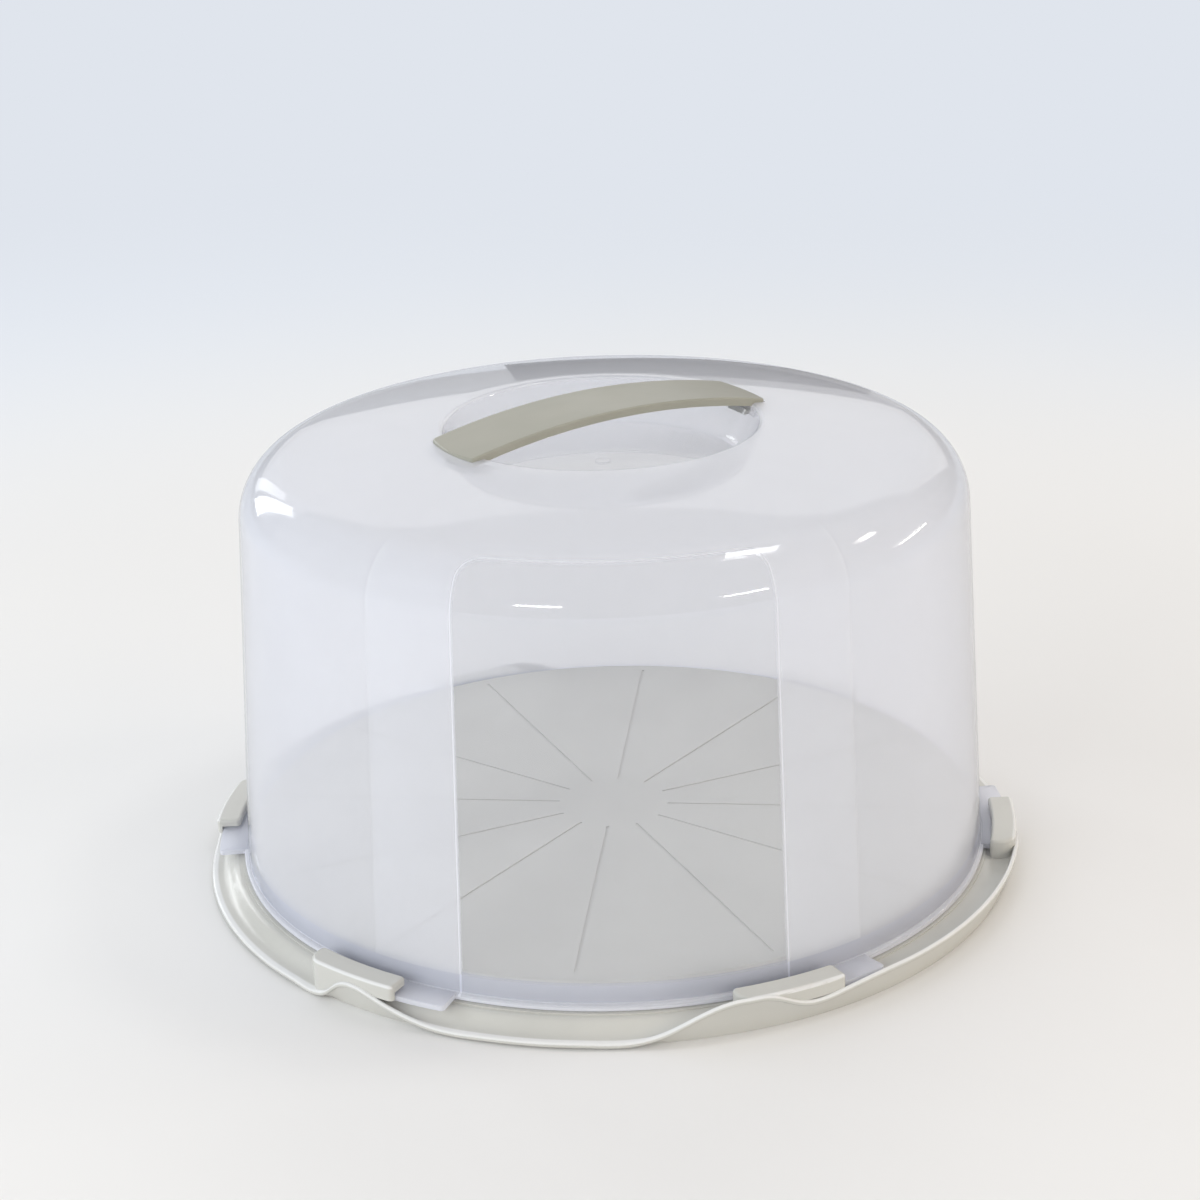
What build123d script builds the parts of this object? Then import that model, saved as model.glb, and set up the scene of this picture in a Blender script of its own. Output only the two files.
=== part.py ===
from build123d import *
import math
import os

# Round cake carrier: a moulded base tray, a translucent dome that twists onto it and locks
# under six hooks, and an arched handle that clips into the top of the dome.
#
# Millimetres, +Z up. The origin is the centre of the foot ring, on the surface it stands on.
# Angles are in degrees, counterclockwise from above, and 0 is the front (-Y).
# The dome is drawn locked. Turned counterclockwise, its tabs come out of the hooks.

# ---- Fits ----
seat_gap = 0.3  # under the dome's rim
turn_gap = 0.3  # between the tabs and the hooks
clip_gap = 0.3  # between the handle and the dome

# ---- Base tray ----
base_wall = 2.2
platform_radius = 145.0
platform_height = 17.2
platform_edge_fillet = 1.2
riser_lean = 1.0  # how much further out the riser's foot is than the platform's edge
seat_width = 5.0
seat_height = 7.4
seat_edge_fillet = 0.3
flange_drop = 0.5  # from the seat down to the flange outside it
gutter_width = 9.4  # from the seat's edge to where the lip starts to rise
lip_width = 3.0  # from there to the lip's outside
lip_thickness = 2.2
foot_inset = 3.6  # from the lip's outside to the foot ring's
foot_width = 2.2
foot_height = 1.5

# How the flange's section is drawn
shelf_overlap = 1.5  # level stretch on each side of the seat's edge
shelf_pull = 4.0  # the curves between shelf, gutter and crest head for these points
gutter_pull = 5.0
lip_foot_pull = 1.0
lip_crest_pull = 0.8
lip_bulge = 0.4
skirt_lift = 0.3  # of the skirt off the surface the tray stands on
skirt_overlap = 0.4
skirt_room = 0.6  # least height under the gutter

# How the space round the hooks is drawn
envelope_room = 2.0
envelope_inset = 0.6
envelope_gap = 0.1

# The outer lip rises and dips round the tray, in the same way on both halves: a grip on each
# side, and a crest outside each hook.
dip_height = 2.8
grip_height = 11.2
front_crest = 15.0
side_crest = 11.1
notch_height = 8.6
lip_wave = (
    (-75.0, dip_height),
    (-42.5, dip_height),
    (-37.5, side_crest),
    (-23.0, dip_height),
    (1.0, dip_height),
    (15.0, front_crest),
    (18.0, front_crest),
    (25.0, notch_height),
    (36.0, grip_height),
    (75.0, grip_height),
    (91.0, dip_height),
    (105.0, dip_height),
)
lip_step = 5.0  # widest angle between two drawn sections of the lip

# ---- Platform ribs and portion marks ----
rib_radii = (48.0, 98.0)
rib_width = 1.6
rib_depth = 7.0
portions = 12
portion_angle = -6.4
mark_inner_radius = 22.0
mark_outer_radius = 139.0
mark_width = 1.2
mark_depth = 0.4

# ---- Hooks ----
hook_count = 6
hook_start = 15.0  # closed end of the first hook to the right of the front
hook_span = 15.0
hook_clearance = 2.6  # from the dome's rim to the hook's inner edge
hook_inset = 1.2  # from the lip's outside to the hook's
hook_room = 4.2  # from the seat up to the plate
hook_plate = 2.9
hook_wall = 2.0
hook_wall_span = 6.0  # stretch in which the outer wall reaches down to the flange
hook_skirt = 2.8  # how far it hangs below the plate in the rest of the span
hook_end_flat = 2.6  # what the big rounded corner leaves of the closed end
hook_small_corner = 1.8
hook_edge_fillet = 1.2

# ---- Dome ----
dome_wall = 1.8
rim_inset = 1.0  # from the seat's edge
rim_height = 2.2
rim_width = 3.4
rim_edge_fillet = 0.6
rim_step = 1.5  # from the rim's outside to the wall's
wall_draft = 8.6  # from the wall's foot in to where it would meet the crown without the shoulder
shoulder_radius = 23.1
crown_height = 182.6  # where the crown's curve would cross the axis
crown_curve_radius = 676.0
dish_radius = 61.1
dish_lean = 7.4  # from the dish's edge in to its floor
dish_drop = 19.4
dish_rim_fillet = 2.5
dish_floor_fillet = 5.0
gate_radius = 3.0
gate_height = 0.5

# ---- Tabs of the dome ----
tab_start = 2.0  # from the hook's closed end to the tab's leading end
tab_span = 20.0
tab_thickness = 2.2
tab_lift = 0.4  # underside above the rim's lower edge
tab_lead_corner = 4.5
tab_tail_corner = 1.5
cam_start = 3.0
cam_span = 9.0
cam_width = 3.0

# ---- Handle ----
handle_angle = 30.5  # its length, from +X towards +Y
handle_rise = 5.3  # of its middle over the crown's
handle_arc_radius = 285.7
handle_width = 31.8
handle_thickness = 3.2
handle_overhang = 5.7  # of its ends over the dish's edge
handle_corner = 1.6
handle_edge_fillet = 0.8
pocket_wall = 1.8
clip_inset = 3.4  # from the handle's end to the middle of its leg
clip_width = 12.0
clip_thickness = 2.0
clip_barb = 1.0
clip_barb_height = 2.4

# ---- Derived sizes ----
riser_foot_radius = platform_radius + riser_lean
seat_radius = riser_foot_radius + seat_width
flange_height = seat_height - flange_drop
gutter_radius = seat_radius + gutter_width
lip_radius = gutter_radius + lip_width
foot_radius = lip_radius - foot_inset
rim_radius = seat_radius - rim_inset
wall_foot_radius = rim_radius - rim_step
crown_edge_radius = wall_foot_radius - wall_draft
dish_floor_radius = dish_radius - dish_lean
dish_floor_height = crown_height - dish_drop
hook_inner_radius = rim_radius + hook_clearance
hook_outer_radius = lip_radius - hook_inset
hook_corner = hook_outer_radius - hook_inner_radius - hook_end_flat
hook_ceiling = seat_height + hook_room
hook_top = hook_ceiling + hook_plate
rim_bottom = seat_height + seat_gap
tab_bottom = rim_bottom + tab_lift
tab_radius = hook_outer_radius - hook_wall - turn_gap
cam_top = hook_ceiling - turn_gap
crown_centre = crown_height - crown_curve_radius
dish_rim_height = crown_centre + math.sqrt(crown_curve_radius**2 - dish_radius**2)
dish_slope = (dish_radius - dish_floor_radius) / (dish_rim_height - dish_floor_height)
handle_top = crown_height + handle_rise
handle_end_radius = dish_radius + handle_overhang
clip_offset = handle_end_radius - clip_inset
handle_side = handle_width / 2
handle_centre = handle_top - handle_arc_radius
handle_under_radius = handle_arc_radius - handle_thickness
handle_end_under = handle_centre + math.sqrt(handle_under_radius**2 - handle_end_radius**2)
pocket_floor = handle_end_under - clip_gap
pocket_under = pocket_floor - pocket_wall
pocket_radius = handle_end_radius + clip_gap
pocket_side = handle_side + clip_gap
barb_top = pocket_under - clip_gap


def lip_height(angle):
    """Top of the outer lip, eased between the points of lip_wave."""
    for (start, low), (end, high) in zip(lip_wave, lip_wave[1:]):
        if start <= angle <= end:
            share = (angle - start) / (end - start)
            return low + (high - low) * share * share * (3 - 2 * share)
    return dip_height


def gutter_height(angle):
    """Top of the flange at the foot of the lip, which sinks with the lip where that dips."""
    share = min((lip_height(angle) - dip_height) / (grip_height - dip_height), 1.0)
    return dip_height + 0.1 + share * (flange_height - dip_height - 0.1)


def lip_angles():
    """The angles of lip_wave, with others between them no further apart than lip_step."""
    angles = [lip_wave[0][0]]
    for (start, low), (end, high) in zip(lip_wave, lip_wave[1:]):
        steps = max(3, math.ceil((end - start) / lip_step))
        angles += [start + (end - start) * step / steps for step in range(1, steps + 1)]
    return angles


def radial_plane(angle):
    """Plane through the axis, with its x direction pointing outwards at the angle and y up."""
    turn = math.radians(angle - 90)
    outwards = Vector(math.cos(turn), math.sin(turn), 0)
    return Plane(origin=(0, 0, 0), x_dir=outwards, z_dir=outwards.cross(Vector(0, 0, 1)))


def sector(inner_radius, outer_radius, span):
    """Part of a ring, from the front (-Y) through the span."""
    with BuildSketch() as ring_part:
        with BuildLine():
            inner = CenterArc((0, 0), inner_radius, -90, span)
            outer = CenterArc((0, 0), outer_radius, -90, span)
            Line(inner @ 0, outer @ 0)
            Line(inner @ 1, outer @ 1)
        make_face()
    return ring_part.sketch


# ---- Half of the tray's flange, gutter, lip and skirt ----
with BuildPart() as flange_half:
    for angle in lip_angles():
        lip = lip_height(angle)
        gutter = gutter_height(angle)
        lip_middle = lip_radius - lip_thickness / 2
        with BuildSketch(radial_plane(angle)):
            with BuildLine():
                inner = (seat_radius - shelf_overlap, flange_height)
                shelf = (seat_radius + shelf_overlap, flange_height)
                shelf_end = (seat_radius + shelf_pull, flange_height)
                gutter_start = (seat_radius + gutter_pull, gutter)
                knee = (gutter_radius, gutter)
                crest = (lip_middle, lip)
                under_lip = (lip_middle, lip - lip_thickness)
                Line(inner, shelf)
                Bezier(shelf, shelf_end, gutter_start, knee)
                Bezier(knee, (gutter_radius + lip_foot_pull, gutter), (gutter_radius + lip_crest_pull, lip), crest)
                outside = lip_radius + lip_bulge
                Bezier(crest, (outside, lip), (outside, lip - lip_thickness), under_lip)
                Polyline(
                    under_lip,
                    (foot_radius, skirt_lift),
                    (foot_radius - foot_width + skirt_overlap, skirt_lift),
                    (foot_radius - foot_width + skirt_overlap, max(gutter - base_wall, skirt_room)),
                    (seat_radius - shelf_overlap, flange_height - base_wall),
                    inner,
                )
            make_face()
    loft()

# ---- Space that the hooks stay within: above the middle of the flange and inside the skirt ----
with BuildPart() as hook_envelope:
    for angle in lip_angles():
        gutter_middle = gutter_height(angle) - base_wall / 2
        with BuildSketch(radial_plane(angle)):
            Polygon(
                (hook_inner_radius - envelope_room, flange_height - base_wall / 2),
                (gutter_radius - envelope_inset, gutter_middle),
                (hook_outer_radius + envelope_gap, max(lip_height(angle) - lip_thickness, gutter_middle)),
                (hook_outer_radius + envelope_gap, hook_top + envelope_room),
                (hook_inner_radius - envelope_room, hook_top + envelope_room),
                align=None,
            )
    loft()

# ---- One hook, with its closed end at the front ----
with BuildPart() as hook:
    with BuildSketch() as hook_outline:
        add(sector(hook_inner_radius, hook_outer_radius, hook_span))
        fillet(hook_outline.vertices().sort_by_distance((0, -hook_outer_radius))[0], radius=hook_corner)
        fillet(hook_outline.vertices().sort_by_distance((0, -hook_outer_radius))[2:], radius=hook_small_corner)
    extrude(amount=hook_top)
    fillet(hook.faces().sort_by(Axis.Z)[-1].edges(), radius=hook_edge_fillet)
    # Space for the tab, under the plate
    with BuildSketch(Plane.XY.rotated((0, 0, math.degrees(hook_wall / hook_outer_radius)))) as tab_space:
        add(sector(hook_inner_radius - 2, hook_outer_radius - hook_wall, hook_span + 2))
        fillet(tab_space.vertices().sort_by_distance((0, -hook_outer_radius))[0], radius=hook_corner - hook_wall)
    extrude(amount=hook_ceiling, mode=Mode.SUBTRACT)
    # Slot under the skirt
    with BuildSketch(Plane.XY.rotated((0, 0, hook_wall_span))):
        add(sector(hook_inner_radius, hook_outer_radius + 2, hook_span))
    extrude(amount=hook_ceiling - hook_skirt, mode=Mode.SUBTRACT)

# ---- The three hooks of the half ----
with BuildPart() as half_hooks:
    with PolarLocations(0, 3, start_angle=hook_start - 60, angular_range=180):
        add(hook.part)
    add(hook_envelope.part, mode=Mode.INTERSECT)

# ---- Base tray ----
with BuildPart() as base_tray:
    # Platform, riser and the seat of the dome's rim
    with BuildSketch(Plane.XZ) as core_section:
        Polygon(
            (0, platform_height),
            (platform_radius, platform_height),
            (riser_foot_radius, seat_height),
            (seat_radius, seat_height),
            (seat_radius, seat_height - base_wall),
            (riser_foot_radius - base_wall, seat_height - base_wall),
            (platform_radius - base_wall, platform_height - base_wall),
            (0, platform_height - base_wall),
            align=None,
        )
        corners = core_section.vertices()
        fillet(corners.sort_by_distance((platform_radius, platform_height))[0], radius=platform_edge_fillet)
        fillet(corners.sort_by_distance((seat_radius, seat_height))[0], radius=seat_edge_fillet)
    revolve(axis=Axis.Z)
    # Ribs under the platform, and the ring the tray stands on
    with BuildSketch(Plane.XZ):
        for rib_radius in rib_radii:
            with Locations((rib_radius, platform_height - base_wall / 2)):
                Rectangle(rib_width, rib_depth + base_wall / 2, align=(Align.CENTER, Align.MAX))
        with Locations((foot_radius - 0.2, 0)):
            Rectangle(foot_width, foot_height, align=(Align.MAX, Align.MIN))
    revolve(axis=Axis.Z)
    # Flange, lip and hooks, the same on both halves
    with PolarLocations(0, 2):
        add(flange_half.part)
    with PolarLocations(0, 2):
        add(half_hooks.part)
    # Portion marks
    mark_length = mark_outer_radius - mark_inner_radius
    with BuildSketch(Plane.XY.offset(platform_height)):
        with PolarLocations(mark_inner_radius + mark_length / 2, portions, start_angle=portion_angle - 90):
            SlotOverall(mark_length, mark_width)
    extrude(amount=-mark_depth, mode=Mode.SUBTRACT)
base_tray.part.label = "base_tray"

# ---- One tab of the dome's rim, with its leading end at the front ----
with BuildPart() as tab:
    with BuildSketch(Plane.XY.offset(tab_bottom)) as tab_outline:
        add(sector(rim_radius - 1.2, tab_radius, tab_span))
        fillet(tab_outline.vertices().sort_by_distance((0, -tab_radius))[0], radius=tab_lead_corner)
        fillet(tab_outline.vertices().sort_by(Axis.X)[-1], radius=tab_tail_corner)
    extrude(amount=tab_thickness)
    # Rib that bears up under the hook's plate
    with BuildSketch(Plane.XY.offset(tab_bottom).rotated((0, 0, cam_start))) as cam_outline:
        add(sector(tab_radius - 1.5 - cam_width, tab_radius - 1.5, cam_span))
        fillet(cam_outline.vertices(), radius=cam_width / 2 - 0.1)
    extrude(amount=cam_top - tab_bottom)

# ---- Handle ----
handle_line = Plane(origin=(0, 0, 0), x_dir=(1, 0, 0), z_dir=(0, -1, 0)).rotated((0, 0, handle_angle))
with BuildPart() as carry_handle:
    # Arched strap
    with BuildSketch(handle_line):
        with BuildLine():
            reach = handle_end_radius + 4
            top_end = handle_centre + math.sqrt(handle_arc_radius**2 - reach**2)
            under_end = handle_centre + math.sqrt(handle_under_radius**2 - reach**2)
            ThreePointArc((-reach, top_end), (0, handle_top), (reach, top_end))
            ThreePointArc((-reach, under_end), (0, handle_top - handle_thickness), (reach, under_end))
            Line((-reach, top_end), (-reach, under_end))
            Line((reach, top_end), (reach, under_end))
        make_face()
    extrude(amount=handle_side, both=True)
    with BuildSketch(Plane.XY.offset(pocket_floor)):
        Circle(handle_end_radius)
    extrude(amount=handle_top - pocket_floor, mode=Mode.INTERSECT)
    fillet(carry_handle.edges().filter_by(Axis.Z), radius=handle_corner)
    fillet(carry_handle.faces().sort_by(Axis.Z)[-1].edges(), radius=handle_edge_fillet)
    # Barbed legs that pass through the pocket floors
    with BuildSketch(handle_line.offset(-clip_width / 2)):
        for side in (-1, 1):
            with BuildLine():
                leg_in = side * (clip_offset - clip_thickness / 2)
                leg_out = side * (clip_offset + clip_thickness / 2)
                Polyline(
                    (leg_in, handle_end_under + 1),
                    (leg_out, handle_end_under + 1),
                    (leg_out, barb_top),
                    (leg_out + side * clip_barb, barb_top),
                    (leg_out, barb_top - clip_barb_height),
                    (leg_in, barb_top - clip_barb_height),
                    close=True,
                )
            make_face()
    extrude(amount=clip_width)
carry_handle.part.label = "carry_handle"

# ---- Thickened crown round the pockets of the handle's ends ----
with BuildPart() as pocket_blocks:
    with BuildSketch(Plane.XZ):
        Polygon(
            (dish_radius - dish_slope * (dish_rim_height - pocket_under) + dome_wall / 2, pocket_under),
            (pocket_radius + pocket_wall, pocket_under),
            (pocket_radius + pocket_wall, dish_rim_height - dome_wall),
            (dish_radius, dish_rim_height - dome_wall),
            align=None,
        )
    revolve(axis=Axis.Z)
    with BuildSketch(Plane.XY.offset(pocket_under).rotated((0, 0, handle_angle))):
        Rectangle(2 * handle_arc_radius, 2 * (pocket_side + pocket_wall))
    extrude(amount=dish_rim_height - pocket_under, mode=Mode.INTERSECT)

# ---- Dome ----
with BuildPart() as dome_lid:
    # Wall, shoulder, crown and dish
    with BuildSketch(Plane.XZ) as wall_section:
        with BuildLine() as wall_line:
            outer_turn = math.degrees(math.acos(crown_edge_radius / crown_curve_radius))
            inner_turn = math.degrees(math.acos(dish_radius / crown_curve_radius))
            crown = CenterArc((0, crown_centre), crown_curve_radius, outer_turn, inner_turn - outer_turn)
            wall_top = crown @ 0
            dish_rim = crown @ 1
            dish_corner = (dish_floor_radius, dish_floor_height)
            Line((wall_foot_radius, rim_bottom + rim_height / 2), wall_top)
            Polyline(dish_rim, dish_corner, (0, dish_floor_height))
            fillet(wall_line.vertices().sort_by_distance(wall_top)[0], radius=shoulder_radius)
            fillet(wall_line.vertices().sort_by_distance(dish_rim)[0], radius=dish_rim_fillet)
            fillet(wall_line.vertices().sort_by_distance(dish_corner)[0], radius=dish_floor_fillet)
            offset(amount=dome_wall, side=Side.LEFT)
        make_face()
    revolve(axis=Axis.Z)
    # Rim
    with BuildSketch(Plane.XZ) as rim_section:
        with Locations((rim_radius, rim_bottom)):
            Rectangle(rim_width, rim_height, align=(Align.MAX, Align.MIN))
        fillet(rim_section.vertices().group_by(Axis.X)[-1], radius=rim_edge_fillet)
    revolve(axis=Axis.Z)
    with PolarLocations(0, hook_count, start_angle=hook_start + tab_start):
        add(tab.part)
    # Pockets in the crown for the handle's ends, with slots for its legs
    add(pocket_blocks.part)
    with BuildSketch(Plane.XY.offset(pocket_floor).rotated((0, 0, handle_angle))):
        Circle(pocket_radius)
        Rectangle(2 * handle_arc_radius, 2 * pocket_side, mode=Mode.INTERSECT)
    extrude(amount=handle_top - pocket_floor, mode=Mode.SUBTRACT)
    with BuildSketch(Plane.XY.offset(pocket_floor).rotated((0, 0, handle_angle))):
        with Locations((-clip_offset, 0), (clip_offset, 0)):
            Rectangle(clip_thickness + 2 * clip_gap, clip_width + 2 * clip_gap)
    extrude(amount=-2 * pocket_wall, mode=Mode.SUBTRACT)
    # Gate mark in the middle of the dish
    with BuildSketch(Plane.XY.offset(dish_floor_height - dome_wall / 2)):
        Circle(gate_radius)
    extrude(amount=dome_wall / 2 + gate_height)
dome_lid.part.label = "dome_lid"

if __name__ == "__main__":
    os.makedirs("parts", exist_ok=True)
    export_step(base_tray.part, "parts/base_tray.step")
    export_step(dome_lid.part, "parts/dome_lid.step")
    export_step(carry_handle.part, "parts/carry_handle.step")
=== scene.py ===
import bpy
import math
from mathutils import Matrix, Vector


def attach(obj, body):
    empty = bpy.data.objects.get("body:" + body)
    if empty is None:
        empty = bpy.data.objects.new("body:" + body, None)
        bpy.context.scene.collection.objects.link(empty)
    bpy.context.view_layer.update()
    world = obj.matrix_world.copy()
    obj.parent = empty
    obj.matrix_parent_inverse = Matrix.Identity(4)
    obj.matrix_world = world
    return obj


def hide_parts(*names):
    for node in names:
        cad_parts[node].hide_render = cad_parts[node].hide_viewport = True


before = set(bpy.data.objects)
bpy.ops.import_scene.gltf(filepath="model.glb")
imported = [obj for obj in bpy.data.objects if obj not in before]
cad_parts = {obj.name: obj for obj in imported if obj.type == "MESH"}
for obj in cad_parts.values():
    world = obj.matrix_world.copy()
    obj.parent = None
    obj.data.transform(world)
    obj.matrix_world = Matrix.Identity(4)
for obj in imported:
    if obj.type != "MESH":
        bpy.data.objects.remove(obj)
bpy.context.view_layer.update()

# Base tray: the shallow tray that carries the cake, with six hooks on its rim that hold the dome down.
# One injection moulding of warm grey polypropylene, semi-gloss, with the faint grain of its mould.
# The CAD solid is right in every surface that shows, so it only gets its finish here.
tray_greys = (193, 192, 186), (199, 198, 192)
# Painted highlight on the lip's crest: its colour, where it starts and is full by reach, and by how far the
# surface faces up
crest_highlight_colour = (224, 224, 223)
crest_highlight_start, crest_highlight_full = 0.1606, 0.1616
highlight_slope_start, highlight_slope_full = 0.1, 0.6


def linear(red, green, blue):
    """Scene colour of an sRGB colour given in 0-255 steps."""
    steps = [c / 255 for c in (red, green, blue)]
    return [((c + 0.055) / 1.055) ** 2.4 if c > 0.04045 else c / 12.92 for c in steps] + [1]


def new_material(name):
    """An empty node material, with its tree and its output."""
    material = bpy.data.materials.new(name)
    material.use_nodes = True
    tree = material.node_tree
    tree.nodes.clear()
    return material, tree, tree.nodes.new("ShaderNodeOutputMaterial")


def math_node(tree, operation, first, second=0.0, third=0.0, clamp=False):
    """Result of one Math node on sockets or numbers."""
    node = tree.nodes.new("ShaderNodeMath")
    node.operation = operation
    node.use_clamp = clamp
    for socket, value in zip(node.inputs, (first, second, third)):
        if isinstance(value, bpy.types.NodeSocket):
            tree.links.new(value, socket)
        else:
            socket.default_value = value
    return node.outputs[0]


def ease(tree, value, low, high, at_low=0.0, at_high=1.0):
    """Smooth step of a socket from at_low to at_high, between the values low and high."""
    node = tree.nodes.new("ShaderNodeMapRange")
    node.interpolation_type = "SMOOTHSTEP"
    tree.links.new(value, node.inputs["Value"])
    for name, number in (("From Min", low), ("From Max", high), ("To Min", at_low), ("To Max", at_high)):
        node.inputs[name].default_value = number
    return node.outputs[0]


def noise(tree, size, detail=2.0):
    """Noise between 0 and 1 on the piece's own coordinates, with lumps of about the size in metres."""
    place = tree.nodes.new("ShaderNodeTexCoord")
    node = tree.nodes.new("ShaderNodeTexNoise")
    tree.links.new(place.outputs["Object"], node.inputs["Vector"])
    node.inputs["Scale"].default_value = 1 / size
    node.inputs["Detail"].default_value = detail
    node.inputs["Roughness"].default_value = 0.5
    return node.outputs["Fac"]


def place_on(tree):
    """Place on the piece in its own coordinates: x, y, z and the distance from the upright axis."""
    place = tree.nodes.new("ShaderNodeTexCoord")
    parts = tree.nodes.new("ShaderNodeSeparateXYZ")
    tree.links.new(place.outputs["Object"], parts.inputs[0])
    x, y, z = parts.outputs
    squares = math_node(tree, "ADD", math_node(tree, "MULTIPLY", x, x), math_node(tree, "MULTIPLY", y, y))
    return x, y, z, math_node(tree, "SQRT", squares)


def blended(tree, share, first, second):
    """Colour between two colours, of which the first may be a socket."""
    node = tree.nodes.new("ShaderNodeMix")
    node.data_type = "RGBA"
    tree.links.new(share, node.inputs["Factor"])
    if isinstance(first, bpy.types.NodeSocket):
        tree.links.new(first, node.inputs["A"])
    else:
        node.inputs["A"].default_value = first
    node.inputs["B"].default_value = second
    return node.outputs["Result"]


def moulded_plastic(name, greys, gloss, grain):
    """Opaque moulded plastic: pigment cloudy between two greys, uneven gloss and a mould's fine grain."""
    cloud_size, streak_size, grain_size, grain_depth = 0.045, 0.02, 0.0014, 0.00005
    darker, lighter = [linear(*grey) for grey in greys]
    material, tree, output = new_material(name)
    plastic = tree.nodes.new("ShaderNodeBsdfPrincipled")
    tree.links.new(plastic.outputs[0], output.inputs["Surface"])
    cloud = ease(tree, noise(tree, cloud_size, 3), 0.3, 0.7)
    tree.links.new(blended(tree, cloud, darker, lighter), plastic.inputs["Base Color"])
    streak = ease(tree, noise(tree, streak_size), 0.25, 0.75, gloss - 0.03, gloss + 0.04)
    tree.links.new(streak, plastic.inputs["Roughness"])
    bump = tree.nodes.new("ShaderNodeBump")
    bump.inputs["Strength"].default_value = grain
    bump.inputs["Distance"].default_value = grain_depth
    tree.links.new(noise(tree, grain_size), bump.inputs["Height"])
    tree.links.new(bump.outputs[0], plastic.inputs["Normal"])
    return material


def give(piece, material):
    """Puts the material in all of the piece's slots."""
    if not piece.material_slots:
        piece.data.materials.append(material)
    for slot in piece.material_slots:
        slot.material = material


tray_plastic = moulded_plastic("tray_plastic", tray_greys, gloss=0.22, grain=0.25)
# Painted highlight: where the lip is far out and faces up, along its crest, its grey is painted lighter,
# for the bright line along it
tree = tray_plastic.node_tree
reach = place_on(tree)[3]
slope = tree.nodes.new("ShaderNodeTexCoord")
upward = tree.nodes.new("ShaderNodeSeparateXYZ")
tree.links.new(slope.outputs["Normal"], upward.inputs[0])
far_out = ease(tree, reach, crest_highlight_start, crest_highlight_full)
flat_enough = ease(tree, upward.outputs[2], highlight_slope_start, highlight_slope_full)
crest_highlight_mask = math_node(tree, "MULTIPLY", far_out, flat_enough)
colour = tree.nodes["Principled BSDF"].inputs["Base Color"]
tree.links.new(blended(tree, crest_highlight_mask, colour.links[0].from_socket, linear(*crest_highlight_colour)), colour)
give(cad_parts["base_tray"], tray_plastic)

# Dome: one injection moulding of clear polypropylene, 1.8 mm thick, that twists onto the tray.
# It is spun from its half section, then gets the six tabs of its rim, and two pockets with slots
# in the crown, where the handle's ends clip in.
dome_wall = 0.0018
wall_foot = Vector((0.1485, 0.0088))
wall_foot_lift = 0.0012
crown_top, crown_radius = 0.1826, 0.676
crown_origin = Vector((0, crown_top - crown_radius))
crown_reach, dish_reach = 0.1399, 0.0611
shoulder_radius, dish_rim_radius, dish_floor_radius = 0.0231, 0.0025, 0.005
dish_floor = 0.1632
dish_corner = Vector((0.0537, dish_floor))


def on_crown(reach):
    """Point of the crown's curve at a distance from the axis."""
    return Vector((reach, crown_top - crown_radius + math.sqrt(crown_radius**2 - reach**2)))


def way_and_out(start, end):
    """Direction from one point to another, and the direction that points out of the plastic there."""
    way = (end - start).normalized()
    return way, Vector((way.y, -way.x))


def rounding_centre(start, way, out, radius, corner):
    """Centre of a rounding between a straight line and the crown's curve, at their corner."""
    beside = start - out * radius
    from_crown = beside - crown_origin
    half = from_crown.dot(way)
    run = math.sqrt(half**2 - from_crown.length_squared + (crown_radius - radius) ** 2)
    centres = [beside + way * (side * run - half) for side in (-1, 1)]
    return min(centres, key=lambda centre: (centre - corner).length)


crown_edge, dish_rim = on_crown(crown_reach), on_crown(dish_reach)
wall_way, wall_out = way_and_out(wall_foot, crown_edge)
slope_way, slope_out = way_and_out(dish_rim, dish_corner)
shoulder_centre = rounding_centre(wall_foot, wall_way, wall_out, shoulder_radius, crown_edge)
dish_rim_centre = rounding_centre(dish_rim, slope_way, slope_out, dish_rim_radius, dish_rim)
beside_slope = dish_rim + slope_out * dish_floor_radius
down_slope = (dish_floor + dish_floor_radius - beside_slope.y) / slope_way.y
floor_centre = beside_slope + slope_way * down_slope


def turn_of(way):
    """Angle of a direction in the half section."""
    return math.atan2(way.y, way.x)


def arc(centre, radius, start, end, steps):
    """Points of an arc, in the half section."""
    turns = [start + (end - start) * step / steps for step in range(steps + 1)]
    return [(centre.x + radius * math.cos(turn), centre.y + radius * math.sin(turn)) for turn in turns]


def dome_line(inset):
    """Half section of one side of the shell, from the wall's foot to the axis."""
    over_shoulder = turn_of(shoulder_centre - crown_origin)
    over_dish = turn_of(dish_rim_centre - crown_origin)
    foot = wall_foot + wall_way * wall_foot_lift - wall_out * inset
    wall_end = shoulder_centre + wall_out * (shoulder_radius - inset)
    wall_steps = 9
    line = [tuple(foot.lerp(wall_end, step / wall_steps)) for step in range(wall_steps)]
    line += arc(shoulder_centre, shoulder_radius - inset, turn_of(wall_out), over_shoulder, steps=16)
    line += arc(crown_origin, crown_radius - inset, over_shoulder, over_dish, steps=10)[1:]
    line += arc(dish_rim_centre, dish_rim_radius - inset, over_dish, turn_of(slope_out), steps=7)[1:]
    line += arc(floor_centre, dish_floor_radius + inset, turn_of(-slope_out), -math.pi / 2, steps=9)
    line += [(floor_centre.x * share, dish_floor - inset) for share in (0.75, 0.5, 0.25)]
    return line


def merge_doubles():
    """Merges what lies in one place, out of all of the mesh."""
    bpy.ops.mesh.select_all(action="SELECT")
    bpy.ops.mesh.remove_doubles(threshold=0.000002)


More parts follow.
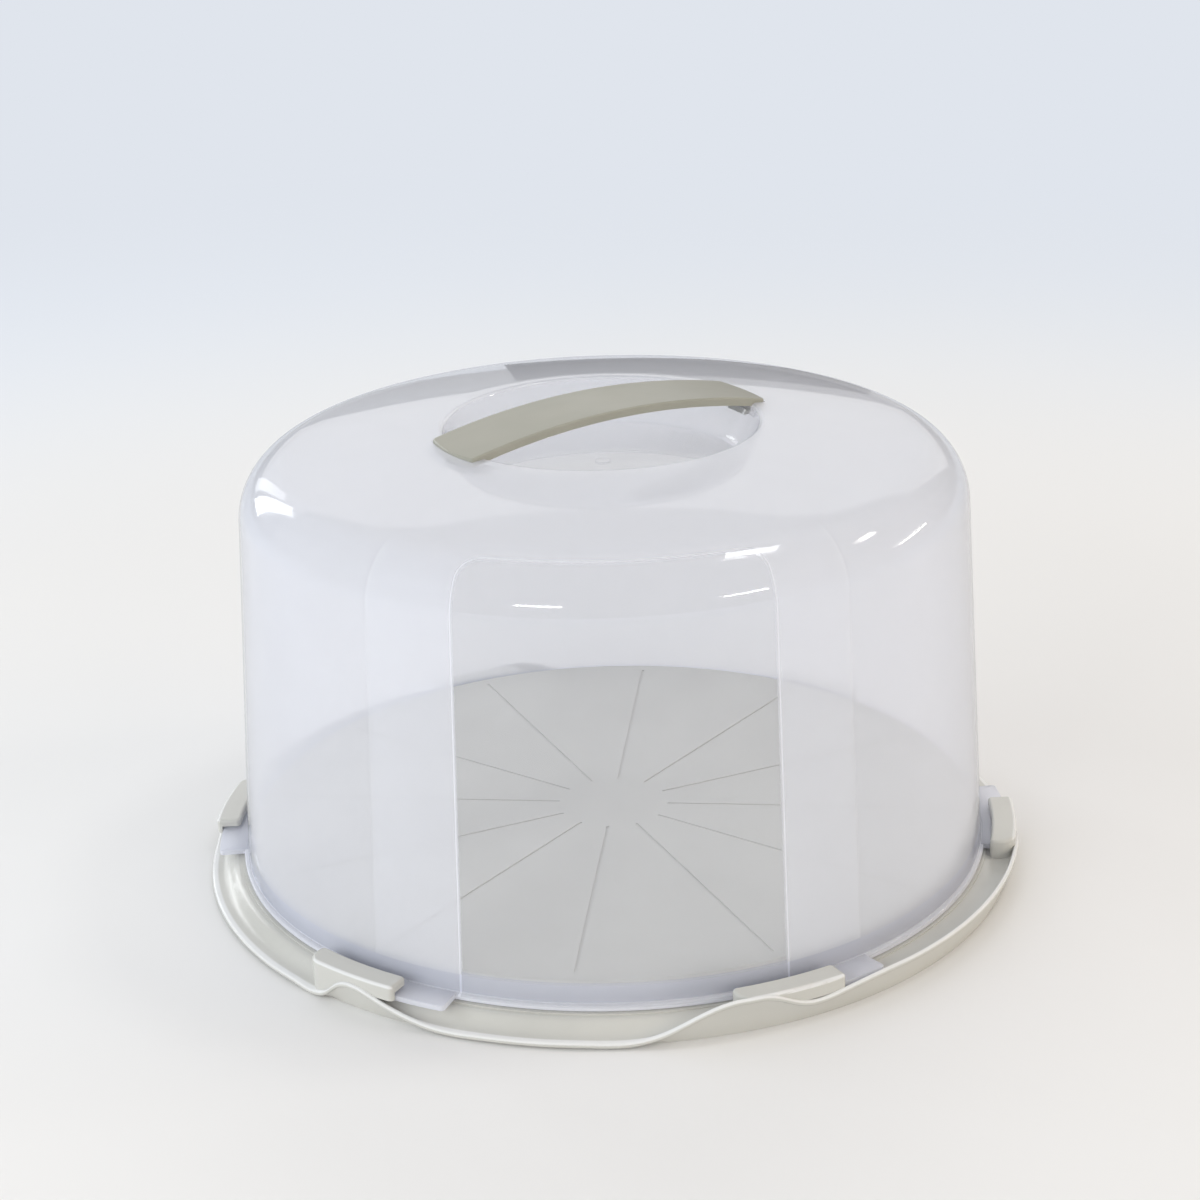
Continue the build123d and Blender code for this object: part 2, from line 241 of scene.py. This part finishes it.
def draw(points, closed=False):
    """Draws a line from point to point in a new mesh and stays in edit mode. A closed one gets its face."""
    bpy.ops.object.select_all(action="DESELECT")
    bpy.ops.mesh.primitive_plane_add(size=0.01, location=(0, 0, 0))
    bpy.ops.object.mode_set(mode="EDIT")
    bpy.ops.mesh.merge(type="CENTER")
    bpy.ops.transform.translate(value=points[0])
    ends = points[1:] + points[:1] if closed else points[1:]
    for start, end in zip(points, ends):
        bpy.ops.mesh.extrude_region_move(TRANSFORM_OT_translate={"value": Vector(end) - Vector(start)})
    bpy.ops.mesh.select_all(action="SELECT")
    if closed:
        merge_doubles()
        bpy.ops.mesh.edge_face_add()
    return bpy.context.object


def close_up():
    """Merges doubles, turns the faces outwards and leaves edit mode."""
    merge_doubles()
    bpy.ops.mesh.normals_make_consistent(inside=False)
    bpy.ops.object.mode_set(mode="OBJECT")


def spin(span, steps):
    """Spins what is selected about the axis, counterclockwise from above through a span in degrees."""
    bpy.ops.mesh.spin(steps=steps, angle=math.radians(-span), center=(0, 0, 0), axis=(0, 0, 1))


def join(pieces):
    """Makes one object of the pieces, on the first one."""
    bpy.ops.object.select_all(action="DESELECT")
    for piece in pieces:
        piece.select_set(True)
    bpy.context.view_layer.objects.active = pieces[0]
    bpy.ops.object.join()
    return bpy.context.object


def pick(piece):
    """Selects one object alone and makes it the active one."""
    bpy.ops.object.select_all(action="DESELECT")
    bpy.context.view_layer.objects.active = piece
    piece.select_set(True)


def shape(piece, kind, **settings):
    """Adds one modifier and applies it."""
    pick(piece)
    modifier = piece.modifiers.new(kind.lower(), kind)
    for name, value in settings.items():
        setattr(modifier, name, value)
    bpy.ops.object.modifier_apply(modifier=modifier.name)


def combine(piece, other, operation):
    """Adds another solid to the piece or cuts it out of it, and removes it."""
    shape(piece, "BOOLEAN", operation=operation, solver="EXACT", object=other)
    bpy.data.objects.remove(other)


def round_edges(piece):
    """Rounds a solid's sharp edges as the mould does."""
    shape(piece, "BEVEL", width=0.0003, segments=2, limit_method="ANGLE", angle_limit=math.radians(50))


def ring_outline(inner, outer, start, span, first_corner, last_corner):
    """Plan outline of part of a ring, from an angle through a span, with its two outer corners rounded."""
    axis = Vector((0, 0))
    first, last = math.radians(start - 90), math.radians(start + span - 90)
    first_lean = math.asin(first_corner / (outer - first_corner))
    last_lean = math.asin(last_corner / (outer - last_corner))
    first_centre = Vector(arc(axis, outer - first_corner, first + first_lean, first, steps=1)[0])
    last_centre = Vector(arc(axis, outer - last_corner, last - last_lean, last, steps=1)[0])
    points = arc(axis, inner, first, last, steps=16)
    points += arc(last_centre, last_corner, last + math.pi / 2, last - last_lean, steps=6)
    points += arc(axis, outer, last - last_lean, first + first_lean, steps=16)[1:-1]
    points += arc(first_centre, first_corner, first + first_lean, first - math.pi / 2, steps=6)
    return points


def slab(points, low, high):
    """A solid with a plan outline, between two heights."""
    piece = draw([(x, y, low) for x, y in points], closed=True)
    bpy.ops.mesh.extrude_region_move(TRANSFORM_OT_translate={"value": (0, 0, high - low)})
    close_up()
    return piece


# Outside of the shell, with its rim, and inside of the shell
spin_steps = 288
rim_inner, rim_bottom = 0.1466, 0.0077
rim_reach, rim_radius = 0.1494, 0.0006
rim_rounding_low, rim_rounding_high = Vector((rim_reach, 0.0083)), Vector((rim_reach, 0.0093))
gate_reach, gate_top = 0.003, 0.1637
rim = arc(rim_rounding_low, rim_radius, -math.pi / 2, 0, steps=5)
rim += arc(rim_rounding_high, rim_radius, 0, math.pi / 2, steps=5)
gate = [(gate_reach, dish_floor), (gate_reach, gate_top), (0, gate_top)]
outside_line = [(rim_inner, rim_bottom)] + rim + dome_line(0) + gate
inside_line = [(0, dish_floor - dome_wall)] + dome_line(dome_wall)[::-1] + [(rim_inner, rim_bottom)]
outside_skin, inside_skin = new_material("dome_outside")[0], new_material("dome_inside")[0]
shells = []
for line, skin in ((outside_line, outside_skin), (inside_line, inside_skin)):
    shell = draw([(r, 0, z) for r, z in line])
    spin(360, spin_steps)
    bpy.ops.object.mode_set(mode="OBJECT")
    give(shell, skin)
    shells.append(shell)
dome = join(shells)
bpy.ops.object.mode_set(mode="EDIT")
close_up()

# Six tabs, each with a rib on top that bears up under its hook. Angles are in degrees from the front.
tab_count, first_tab, tab_span, rib_start, rib_span = 6, 17, 20, 3, 9
tab_inner, tab_outer, tab_bottom, tab_top = 0.1488, 0.1599, 0.0081, 0.0103
rib_inner, rib_outer, rib_bottom, rib_top = 0.1554, 0.1584, 0.0092, 0.0113
tab_first_corner, tab_last_corner, rib_corner = 0.0045, 0.0015, 0.0014
additions = []
for number in range(tab_count):
    start = first_tab + 360 / tab_count * number
    outline = ring_outline(tab_inner, tab_outer, start, tab_span, tab_first_corner, tab_last_corner)
    tab = slab(outline, tab_bottom, tab_top)
    round_edges(tab)
    outline = ring_outline(rib_inner, rib_outer, start + rib_start, rib_span, rib_corner, rib_corner)
    rib = slab(outline, rib_bottom, rib_top)
    round_edges(rib)
    combine(tab, rib, "UNION")
    additions.append(tab)

# Thickening of the crown under the handle's ends, the pockets cut into it, and their slots
handle_turn = 30.5
handle_across = Vector((-math.sin(math.radians(handle_turn)), math.cos(math.radians(handle_turn)), 0))


def under_handle(inner, outer, low, high, half_width, inner_top=None):
    """Two blocks at the handle's ends, spun round the axis there and cut off square on both sides.
    They lie between two distances from the axis and two heights. inner_top is for a sloped inner face."""
    section = [(inner, 0, low), (outer, 0, low), (outer, 0, high), (inner_top or inner, 0, high)]
    spun = 40
    pair = []
    for side in (0, 180):
        piece = draw(section, closed=True)
        first = math.radians(spun / 2 - handle_turn - side)
        bpy.ops.transform.rotate(value=first, orient_axis="Z", center_override=(0, 0, 0))
        spin(spun, 32)
        close_up()
        for way in (-1, 1):
            bpy.ops.object.mode_set(mode="EDIT")
            bpy.ops.mesh.select_all(action="SELECT")
            bpy.ops.mesh.bisect(
                plane_co=handle_across * half_width * way,
                plane_no=handle_across * way,
                use_fill=True,
                clear_outer=True,
            )
            close_up()
        pair.append(piece)
    return pair


additions += under_handle(
    inner=0.0597, outer=0.0689, low=0.17459, high=0.17803, half_width=0.018, inner_top=dish_reach
)
combine(dome, join(additions), "UNION")
pockets = under_handle(inner=0.050, outer=0.0671, low=0.17639, high=0.19, half_width=0.0162)
combine(dome, join(pockets), "DIFFERENCE")
slots = under_handle(inner=0.0621, outer=0.0647, low=0.170, high=0.177, half_width=0.0063)
combine(dome, join(slots), "DIFFERENCE")
pick(dome)
bpy.ops.object.shade_smooth_by_angle(angle=math.radians(28))
dome.name = dome.data.name = "dome"

# The mould's finish changes from zone to zone: a clear panel in front, frosted bands beside it, and
# the wall, crown, dish, foot and rim. A pair of values is where a change starts and where it is full.
panel_turn, panel_half_span, panel_top = math.radians(0.9), math.radians(23.3), 0.1738
panel_reach, panel_corner = 0.143, 0.009
# outline_blur softens the panel's outline; the second number is the width of the painted highlight along it
outline_blur, panel_edge_width = 0.0002, 0.0006
band_end = math.radians(36.2), math.radians(36.8)
band_top = panel_top - 0.014, panel_top + 0.006
crown_start = panel_top - 0.004, panel_top + 0.008
bowl_end, foot_top, rim_top = (0.0600, 0.0615), (0.0168, 0.0176), (0.0100, 0.0108)
# The first colour is the plastic's own; the second is painted shade, a darker blue for the foot and round
# the dish floor's corner
milk_colour, foot_shade_colour = linear(243, 244, 250), linear(229, 232, 246)
clear_colour = (0.985, 0.988, 0.995, 1)
cloud_size, least_cloud, most_cloud = 0.06, 0.96, 1.04
grazing_milk, head_on_mirror, grazing_mirror, let_through = 0.35, 0.04, 0.9, 0.4
# How much of the plastic is milky, on the outside and on the inside of the shell
haze_by_zone = {
    "panel": (0.1, 0.1),
    "band": (0.38, 0.40),
    "wall": (0.3, 0.3),
    "crown": (0.28, 0.16),
    "bowl": (0.12, 0.1),
    "foot": (0.34, 0.34),
    "rim": (0.76, 0.76),
    # edge: extra milk along the edges, a painted highlight
    "edge": (0.45, 0.0),
}


def near(tree, reach, z, at_reach, at_height, width):
    """1 on an edge that runs in a circle round the axis, down to 0 at a width away from it."""
    out = math_node(tree, "POWER", math_node(tree, "SUBTRACT", reach, at_reach), 2.0)
    up = math_node(tree, "POWER", math_node(tree, "SUBTRACT", z, at_height), 2.0)
    return ease(tree, math_node(tree, "SQRT", math_node(tree, "ADD", out, up)), 0, width, 1, 0)


def mixed(tree, share, first, second, output=None):
    """Mix of two shaders, or the last one, which goes to the output."""
    node = tree.nodes.new("ShaderNodeMixShader")
    if isinstance(share, bpy.types.NodeSocket):
        tree.links.new(share, node.inputs[0])
    else:
        node.inputs[0].default_value = share
    tree.links.new(first.outputs[0], node.inputs[1])
    tree.links.new(second.outputs[0], node.inputs[2])
    if output:
        tree.links.new(node.outputs[0], output.inputs["Surface"])
    return node


def dome_plastic(material, haze, gloss):
    """See-through plastic of one side of the shell, as milky in each zone as haze says."""
    tree = material.node_tree

    def calc(operation, *values, clamp=False):
        return math_node(tree, operation, *values, clamp=clamp)

    x, y, z, reach = place_on(tree)
    across = calc("ARCTAN2", x, calc("MULTIPLY", y, -1))
    # Height up the wall, and on over the shoulder along its curve
    over = calc("MAXIMUM", calc("SUBTRACT", z, shoulder_centre.y), 0.0)
    beyond = calc("MAXIMUM", calc("SUBTRACT", reach, shoulder_centre.x), 0.00001)
    curve = calc("MULTIPLY", calc("ARCTAN2", over, beyond), shoulder_radius)
    height = calc("ADD", calc("MINIMUM", z, shoulder_centre.y), curve)
    # Distance from the clear panel's rounded outline, below 0 inside it
    aside = calc("ABSOLUTE", calc("MULTIPLY", calc("SUBTRACT", across, panel_turn), panel_reach))
    aside = calc("SUBTRACT", aside, panel_half_span * panel_reach - panel_corner)
    rise = calc("SUBTRACT", height, panel_top - panel_corner)
    squares = [calc("POWER", calc("MAXIMUM", way, 0.0), 2.0) for way in (aside, rise)]
    inward = calc("MINIMUM", calc("MAXIMUM", aside, rise), 0.0)
    off_panel = calc("SUBTRACT", calc("ADD", calc("SQRT", calc("ADD", *squares)), inward), panel_corner)
    # Zones, each over those before it
    panel = ease(tree, off_panel, -outline_blur, outline_blur, 1, 0)
    beside_panel = ease(tree, calc("ABSOLUTE", across), *band_end, 1, 0)
    band = calc("MULTIPLY", beside_panel, ease(tree, height, *band_top, 1, 0))
    foot = ease(tree, z, *foot_top, 1, 0)
    bowl = ease(tree, reach, *bowl_end, 1, 0)
    rim = ease(tree, z, *rim_top, 1, 0)
    crown = calc("MULTIPLY", ease(tree, height, *crown_start), haze["crown"] - haze["wall"])
    milk = calc("ADD", crown, haze["wall"])
    for mask, zone in ((band, "band"), (panel, "panel"), (foot, "foot"), (bowl, "bowl"), (rim, "rim")):
        rest = calc("MULTIPLY", milk, calc("SUBTRACT", 1.0, mask))
        milk = calc("ADD", rest, calc("MULTIPLY", mask, haze[zone]))
    # Painted highlights: the plastic is made milkier along the edges of the panel, the dish and the rim,
    # for the bright lines there. The ring round the dish floor's corner is for the painted shade below
    panel_edge_highlight = ease(tree, calc("ABSOLUTE", off_panel), outline_blur, panel_edge_width, 1, 0)
    dish_edge_highlight = near(tree, reach, z, at_reach=0.0606, at_height=0.1794, width=0.0010)
    rim_edge_highlight = near(tree, reach, z, at_reach=0.1499, at_height=0.0084, width=0.0012)
    dish_floor_shade = near(tree, reach, z, at_reach=0.0530, at_height=0.1636, width=0.0030)
    edge_highlights = calc("ADD", panel_edge_highlight, calc("ADD", dish_edge_highlight, rim_edge_highlight), clamp=True)
    milk = calc("ADD", milk, calc("MULTIPLY", edge_highlights, haze["edge"]))
    cloud = ease(tree, noise(tree, cloud_size), 0.25, 0.75, least_cloud, most_cloud)
    milk = calc("MULTIPLY", milk, cloud)
    # More plastic in the way, and more shine, where the wall is seen along its surface
    weight = tree.nodes.new("ShaderNodeLayerWeight")
    weight.inputs["Blend"].default_value = 0.5
    grazing = weight.outputs["Facing"]
    milk = calc("ADD", milk, calc("MULTIPLY", calc("POWER", grazing, 3.0), grazing_milk), clamp=True)
    mirror = calc("MULTIPLY_ADD", calc("POWER", grazing, 5.0), grazing_mirror, head_on_mirror)
    # Painted shade: the foot above the rim, and a ring round the dish floor's corner, are tinted a darker
    # blue, for the cool shade that falls there
    painted_cool_shade = calc("SUBTRACT", calc("ADD", foot, dish_floor_shade), rim, clamp=True)
    tint = blended(tree, painted_cool_shade, milk_colour, foot_shade_colour)
    clear = tree.nodes.new("ShaderNodeBsdfTransparent")
    clear.inputs["Color"].default_value = clear_colour
    front = tree.nodes.new("ShaderNodeBsdfDiffuse")
    tree.links.new(tint, front.inputs["Color"])
    back = tree.nodes.new("ShaderNodeBsdfTranslucent")
    tree.links.new(tint, back.inputs["Color"])
    shine = tree.nodes.new("ShaderNodeBsdfGlossy")
    shine.inputs["Roughness"].default_value = gloss
    milky = mixed(tree, let_through, front, back)
    mixed(tree, mirror, mixed(tree, milk, clear, milky), shine, tree.nodes["Material Output"])


for side, skin, gloss in ((0, outside_skin, 0.03), (1, inside_skin, 0.1)):
    dome_plastic(skin, {zone: hazes[side] for zone, hazes in haze_by_zone.items()}, gloss)
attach(dome, "lid")
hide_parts("dome_lid")

# Handle: the arched strap that the carrier is lifted by, across the dish in the top of the dome.
# One moulding of darker grey polypropylene, whose barbed legs clip through the slots in the dome.
# The CAD solid is right in every surface that shows, so it only gets its finish here.
handle_greys = (151, 150, 138), (157, 155, 143)
give(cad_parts["carry_handle"], moulded_plastic("handle_plastic", handle_greys, gloss=0.32, grain=0.3))

# Camera: stands a metre in front of the carrier and looks down on it, with a long lens and no shift.
# The focal length is in pixels, and so is the place of the carrier's foot, from the image's middle.
image_width, focal = 1200, 2476.417
foot_right, foot_up = 14.6498, -239.83183
distance, elevation, roll = 1.0210133, math.radians(26.64356), math.radians(1.7895)
aim = Vector((foot_right, foot_up, focal)).normalized()
eye = Vector((0, -distance * math.cos(elevation), distance * math.sin(elevation)))
towards = -eye.normalized()
right = Vector((1, 0, 0))
up = right.cross(towards)
turn = Vector((0, 0, 1)).rotation_difference(aim).to_matrix() @ Matrix.Rotation(roll, 3, "Z")
rows = turn @ Matrix((right, up, towards))
cam = bpy.data.objects.new("camera", bpy.data.cameras.new("camera"))
bpy.context.scene.collection.objects.link(cam)
cam.data.sensor_width = 36
cam.data.lens = focal * cam.data.sensor_width / image_width
cam.matrix_world = Matrix.Translation(eye) @ Matrix((rows[0], rows[1], -rows[2])).transposed().to_4x4()
bpy.context.scene.camera = cam
bpy.context.scene.view_settings.view_transform = "Standard"

# Floor: a wide pale table top, neutral under the carrier and cooler further off, that takes its shadow.
# Far off it turns into a plain pale backdrop, which shows to the eye and in the plastic.
floor_size = 60
floor_colour, far_floor_colour, backdrop_colour = (231, 230, 229), (222, 227, 234), (224, 229, 237)
cooler_start, cooler_full = 0.4, 1.1
backdrop_start, backdrop_full = 0.55, 1.4
bpy.ops.object.select_all(action="DESELECT")
bpy.ops.mesh.primitive_plane_add(size=floor_size, location=(0, 0, 0))
floor = bpy.context.object
floor.name = "floor"
material, tree, output = new_material("floor")
ground = tree.nodes.new("ShaderNodeBsdfPrincipled")
ground.inputs["Roughness"].default_value = 0.5
away = place_on(tree)[3]
cooler = ease(tree, away, cooler_start, cooler_full)
tint = blended(tree, cooler, linear(*floor_colour), linear(*far_floor_colour))
tree.links.new(tint, ground.inputs["Base Color"])
backdrop = tree.nodes.new("ShaderNodeEmission")
backdrop.inputs["Color"].default_value = linear(*backdrop_colour)
seen = tree.nodes.new("ShaderNodeLightPath")
share = math_node(tree, "ADD", seen.outputs["Is Camera Ray"], seen.outputs["Is Glossy Ray"])
share = math_node(tree, "ADD", share, seen.outputs["Is Transmission Ray"], clamp=True)
share = math_node(tree, "MULTIPLY", share, ease(tree, away, backdrop_start, backdrop_full))
mixed(tree, share, ground, backdrop, output)
floor.data.materials.append(material)

# Light: a soft pale world, with lamps for the room round the table: daylight from the left and the
# back, and warmer light from the right. The narrow lamps give the bright glints on the shoulder.
world_colour, world_strength = (0.97, 0.98, 1, 1), 0.42
daylight, sky, cloud_white = (0.95, 0.98, 1), (0.87, 0.94, 1), (1, 0.99, 0.97)
lamp_white, lamp_warm, lamp_amber = (1, 0.95, 0.88), (1, 0.93, 0.82), (1, 0.77, 0.5)
lamps_aim = Vector((0, 0, 0.12))
world = bpy.data.worlds.new("studio")
bpy.context.scene.world = world
world.use_nodes = True
world.node_tree.nodes["Background"].inputs["Color"].default_value = world_colour
world.node_tree.nodes["Background"].inputs["Strength"].default_value = world_strength


def softbox(name, turn, rise, distance, width, height, power, colour=(1, 1, 1), reflected=True):
    """A lamp that shines at the dome, at an angle from the front and a rise above the table."""
    lamp = bpy.data.objects.new(name, bpy.data.lights.new(name, "AREA"))
    lamp.data.shape = "RECTANGLE"
    lamp.data.size, lamp.data.size_y = width, height
    lamp.data.energy = power
    lamp.data.color = colour
    lamp.visible_glossy = reflected
    away, up = math.radians(turn - 90), math.radians(rise)
    way = Vector((math.cos(away) * math.cos(up), math.sin(away) * math.cos(up), math.sin(up)))
    lamp.location = lamps_aim + distance * way
    lamp.rotation_euler = (lamps_aim - lamp.location).to_track_quat("-Z", "Y").to_euler()
    bpy.context.scene.collection.objects.link(lamp)


# Turn and rise in degrees, distance, width and height in metres, and power in watts
softbox("window_left", 222, 17, 2.2, 0.34, 0.9, 4, daylight)
softbox("window_right", 212, 15, 2.2, 0.22, 0.75, 0.7, daylight)
softbox("window_light", -92, 24, 2.4, 1.6, 1.0, 17, sky, reflected=False)
softbox("back_high", 172, 48, 2.4, 1.6, 0.8, 10, cloud_white, reflected=False)
softbox("back_light", 180, 23, 2.6, 3.4, 1.3, 9)
softbox("room_left", -48, 18, 2.4, 2.2, 1.2, 28, daylight, reflected=False)
softbox("room_right", 38, 14, 2.4, 1.6, 1.0, 12, lamp_warm, reflected=False)
softbox("warm_light", 85, 25, 2.4, 1.2, 1.0, 10, lamp_amber, reflected=False)
softbox("front_left", -20, 19.5, 1.8, 0.42, 0.07, 1.6)
softbox("front_right", 41, 18.5, 1.8, 0.42, 0.07, 1.6)
softbox("top", 105, 66, 1.8, 0.3, 0.3, 3)
softbox("right_high", 100, 36, 1.8, 0.2, 0.1, 1.5, lamp_white)
softbox("right_low", 105, 12, 1.8, 0.5, 0.05, 1.5, lamp_white)

# Flag: a board of dark felt that hangs well behind the carrier, as in a studio.
# It is there only for its reflection in the back of the crown, and is not seen itself.
flag_width, flag_height, flag_colour = 0.72, 0.38, (70, 70, 72)
flag_place = (0.19, 2.6, 0.23)
bpy.ops.object.select_all(action="DESELECT")
bpy.ops.mesh.primitive_plane_add(size=1, location=(0, 0, 0))
bpy.ops.transform.resize(value=(flag_width, flag_height, 1))
bpy.ops.transform.rotate(value=math.radians(90), orient_axis="X", center_override=(0, 0, 0))
bpy.ops.transform.translate(value=flag_place)
flag = bpy.context.object
flag.name = "flag"
flag.visible_camera = flag.visible_diffuse = flag.visible_shadow = False
material, tree, output = new_material("flag")
felt = tree.nodes.new("ShaderNodeBsdfDiffuse")
felt.inputs["Color"].default_value = linear(*flag_colour)
tree.links.new(felt.outputs[0], output.inputs["Surface"])
flag.data.materials.append(material)
